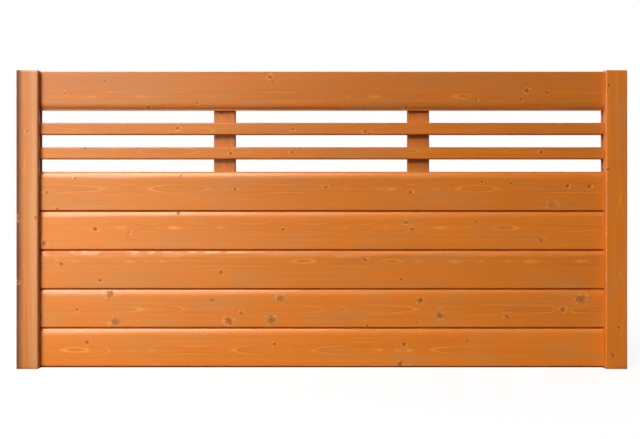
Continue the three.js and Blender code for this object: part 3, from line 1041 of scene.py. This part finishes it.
def make_post(name, groups, seed, raw_wood):
    """A stile or an upright, with its countersinks cut."""
    low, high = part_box(name)
    width = (high.x - low.x) / MM
    depth = (high.y - low.y) / MM
    if name in STILES:
        corners = stile_section(width, depth, name == "right_stile")
    else:
        corners = rectangle(width, depth, UPRIGHT_EDGE_RADIUS)
    piece = make_timber(name, groups, seed, corners, True)
    cut_countersinks(piece, raw_wood)


# ---- screws ----

def ring_mesh(name, rings, sides):
    """A closed mesh round the Y axis from rings (y, a function that gives the radius at an angle)."""
    vertices = [(0.0, rings[0][0], 0.0)]
    for y, radius in rings:
        for side in range(sides):
            angle = 2 * math.pi * side / sides
            r = radius(angle)
            vertices.append((r * math.sin(angle), y, r * math.cos(angle)))
    vertices.append((0.0, rings[-1][0], 0.0))
    faces = []
    for side in range(sides):
        after = (side + 1) % sides
        faces.append((0, 1 + side, 1 + after))
        for row in range(len(rings) - 1):
            first = 1 + row * sides
            faces.append((first + side, first + sides + side, first + sides + after, first + after))
        last = 1 + (len(rings) - 1) * sides
        faces.append((last + side, len(vertices) - 1, last + after))
    mesh = mesh_from(name, [tuple(c * MM for c in v) for v in vertices], faces)
    outward(mesh)
    return mesh


def screw_mesh(length):
    """A countersunk wood screw with a six-lobed socket. Its head's top is at y = 0, its tip points to -y."""
    def plain(radius):
        return lambda angle: radius

    def lobed(grow):
        return lambda angle: SOCKET_RADIUS + grow + SOCKET_LOBE * math.cos(6 * angle)

    thread_start = SCREW_NECK + SCREW_PLAIN_SHARE * length
    rings = [
        (-SOCKET_DEPTH, plain(0.5)), (-SOCKET_DEPTH + 0.1, lobed(-0.15)), (-0.12, lobed(0.0)),
        (0.0, lobed(0.1)), (0.0, plain(SCREW_HEAD_RADIUS - 0.25)),
        (-0.08, plain(SCREW_HEAD_RADIUS - 0.06)),
        (-0.3, plain(SCREW_HEAD_RADIUS)), (-0.5, plain(SCREW_HEAD_RADIUS - 0.06)),
        (-SCREW_NECK + 0.3, plain(SCREW_SHANK_RADIUS + 0.25)),
        (-SCREW_NECK - 0.2, plain(SCREW_SHANK_RADIUS)),
        (-thread_start, plain(SCREW_SHANK_RADIUS)),
    ]
    core = SCREW_SHANK_RADIUS * SCREW_CORE
    rise = SCREW_THREAD_RADIUS - core

    def threaded(depth):
        taper = min(1.0, max(0.0, (length - depth) / SCREW_TIP))
        start = min(1.0, (depth - thread_start) / SCREW_PITCH)

        def radius(angle):
            phase = (depth / SCREW_PITCH + angle / (2 * math.pi)) % 1.0
            ridge = max(0.0, 1 - abs(phase - 0.5) / SCREW_RIDGE)
            return (core + rise * ridge * start) * max(taper, 0.04)
        return radius

    for step in range(1, round((length - thread_start) / (SCREW_PITCH / RINGS_PER_PITCH))):
        depth = thread_start + step * SCREW_PITCH / RINGS_PER_PITCH
        rings.append((-depth, threaded(depth)))
    rings.append((-length, plain(0.03)))
    mesh = ring_mesh(f"screw_{round(length)}", rings, SCREW_SIDES)
    mesh.shade_smooth()
    mesh.set_sharp_from_angle(angle=math.radians(SCREW_CREASE))
    return mesh


def screw_nodes(post=None):
    start = "screw_" if post is None else f"screw_{post}_"
    return sorted(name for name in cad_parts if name.startswith(start))


def screw_place(node):
    """(middle of the head's top, length in millimetres) of a screw."""
    low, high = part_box(node)
    return ((low.x + high.x) / 2, high.y, (low.z + high.z) / 2), (high.y - low.y) / MM


def make_screws(zinc):
    meshes = {}
    for node in screw_nodes():
        place, length = screw_place(node)
        if round(length) not in meshes:
            meshes[round(length)] = screw_mesh(length)
            meshes[round(length)].materials.append(zinc)
        screw = put(node + "_fine", meshes[round(length)])
        screw.location = place
        turns = sum(map(ord, node)) % SCREW_TURNS
        screw.rotation_euler = (0, turns * math.radians(TURN_STEP), 0)
        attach(screw, BODY)
        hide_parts(node)


def cut_countersinks(post, raw_wood):
    """Cuts a seat for each screw's head and a hole for its shank, lined with bare wood."""
    name = post.name.removesuffix("_fine")
    sinks = []
    for node in screw_nodes(name):
        place, length = screw_place(node)
        head = SCREW_HEAD_RADIUS + COUNTERSINK_MARGIN
        shank = SCREW_THREAD_RADIUS + COUNTERSINK_MARGIN
        rim = -COUNTERSINK_MARGIN
        levels = [
            (COUNTERSINK_OPENING, head), (rim, head), (rim - head + shank, shank),
            (-length - COUNTERSINK_OVERRUN, shank),
        ]
        rings = [(y, lambda angle, r=r: r) for y, r in levels]
        sink = ring_mesh("sink", rings, COUNTERSINK_SIDES)
        sink.transform(Matrix.Translation(place))
        sinks.append(sink)
    cutter = joined(sinks, raw_wood)
    change = post.modifiers.new("countersinks", "BOOLEAN")
    change.operation = "DIFFERENCE"
    change.solver = "EXACT"
    change.object = cutter
    change.material_mode = "TRANSFER"
    apply_modifiers(post)
    bpy.data.objects.remove(cutter)


def joined(meshes, material):
    whole = bmesh.new()
    for mesh in meshes:
        whole.from_mesh(mesh)
        bpy.data.meshes.remove(mesh)
    result = bpy.data.meshes.new("cutter")
    whole.to_mesh(result)
    whole.free()
    result.materials.append(material)
    return put("cutter", result)


def apply_modifiers(piece):
    graph = bpy.context.evaluated_depsgraph_get()
    graph.update()
    made = bpy.data.meshes.new_from_object(
        piece.evaluated_get(graph), preserve_all_data_layers=True, depsgraph=graph)
    piece.modifiers.clear()
    old = piece.data
    piece.data = made
    bpy.data.meshes.remove(old)


# ---- studio ----

def background_rays(t):
    """(camera rays, rays in a reflection or through glass) as 0 or 1."""
    rays = t.node("LightPath").outputs
    mirrored = t.greater(rays["Is Glossy Ray"], rays["Is Transmission Ray"])
    return rays["Is Camera Ray"], mirrored


def make_floor():
    """A pale floor that keeps the panel's shadow and runs into the white behind it. Reflections see it
    bright in front of the panel on the left, and dimly behind the panel."""
    steps = np.linspace(-FLOOR_SIZE / 2, FLOOR_SIZE / 2, FLOOR_LINES)
    grid = [(x, y, 0.0) for y in steps for x in steps]
    count = len(steps)
    faces = [
        (r * count + c, r * count + c + 1, (r + 1) * count + c + 1, (r + 1) * count + c)
        for r in range(count - 1) for c in range(count - 1)
    ]
    mesh = mesh_from("studio_floor", grid, faces)
    material, t = plain_material("studio_floor")
    place = t.node("TexCoord").outputs["Object"]
    x, y, _ = t.split(place)
    seen, mirrored = background_rays(t)
    leftward = t.spread(x, -1.2, 0.1, LEFT_FLOOR, RIGHT_SIDE)
    before = t.times(t.spread(y, -0.9, -0.3, 1.0, 0.0), leftward)
    bright = t.greater(t.spread(y, 0.0, 0.5, 0.0, BEHIND), before)
    share = t.greater(seen, t.times(mirrored, bright))
    glow = t.spread(t.length(x, y), GLOW_NEAR, GLOW_FAR, FLOOR_GLOW, 1.0)
    speck = t.noise(place, 1.0, detail=3.0, scale=40.0)
    darker = ((1 - FLOOR_SPECKLE) * FLOOR_TONE,) * 3
    lighter = ((1 + FLOOR_SPECKLE) * FLOOR_TONE,) * 3
    pale = t.mix(speck, darker, lighter)
    matt = t.node("BsdfDiffuse", {"Color": pale})
    white = t.node("Emission", {"Color": (1.0, 1.0, 1.0), "Strength": t.times(share, glow)})
    both = t.node("AddShader", {0: matt.outputs[0], 1: white.outputs[0]})
    t.node("OutputMaterial", {"Surface": both.outputs[0]})
    mesh.materials.append(material)
    put("studio_floor", mesh)


def make_world():
    """Even light from all round. The camera sees white. A reflection sees white on the left, where a
    studio has its white wall, and BEHIND on the side behind the panel."""
    world = bpy.data.worlds.new("studio")
    bpy.context.scene.world = world
    world.use_nodes = True
    world.node_tree.nodes.clear()
    t = Tree(world.node_tree)
    seen, mirrored = background_rays(t)
    x, y, _ = t.split(t.node("TexCoord").outputs["Generated"])
    leftward = t.spread(x, -0.5, 0.1, LEFT_WORLD, RIGHT_SIDE)
    bright = t.greater(t.spread(y, -0.1, 0.3, 0.0, BEHIND), leftward)
    share = t.greater(seen, t.times(mirrored, bright))
    strength = t.greater(share, AMBIENT)
    back = t.node("Background", {"Color": (1.0, 1.0, 1.0), "Strength": strength})
    t.node("OutputWorld", {"Surface": back.outputs[0]})


def make_lamps():
    """Soft boxes, each aimed at its own place by the panel. The key and the sky are aimed low and left."""
    for name, (azimuth, elevation, distance, width, height, x, z, spread, power) in LAMPS.items():
        data = bpy.data.lights.new(name, "AREA")
        data.shape = "RECTANGLE"
        data.size = width
        data.size_y = height
        data.energy = power
        data.spread = math.radians(spread)
        turn = math.radians(azimuth)
        rise = math.radians(elevation)
        outwards = Vector((
            math.sin(turn) * math.cos(rise), -math.cos(turn) * math.cos(rise), math.sin(rise)))
        lamp = put(name, data)
        lamp.location = Vector((0, 0, CAMERA_HEIGHT)) + distance * outwards
        lamp.rotation_mode = "QUATERNION"
        lamp.rotation_quaternion = (Vector((x, 0, z)) - lamp.location).to_track_quat("-Z", "Y")
        lamp.visible_camera = False
        if name in ONLY_REFLECTED:
            lamp.visible_diffuse = False
            data.color = GILT


# ---- the panel ----

def make_panel():
    groups = {"knot": knot_group(), "timber": timber_group()}
    raw_wood = raw_wood_material()
    for index, name in enumerate(BOARDS + SLATS + ["top_board"]):
        make_row(name, groups, ROW_SEED + SEED_STEP * index)
    for index, name in enumerate(STILES + UPRIGHTS):
        make_post(name, groups, POST_SEED + SEED_STEP * index, raw_wood)
    make_screws(zinc_material())


make_camera()
make_panel()
make_floor()
make_world()
make_lamps()
bpy.context.scene.view_settings.view_transform = "Standard"
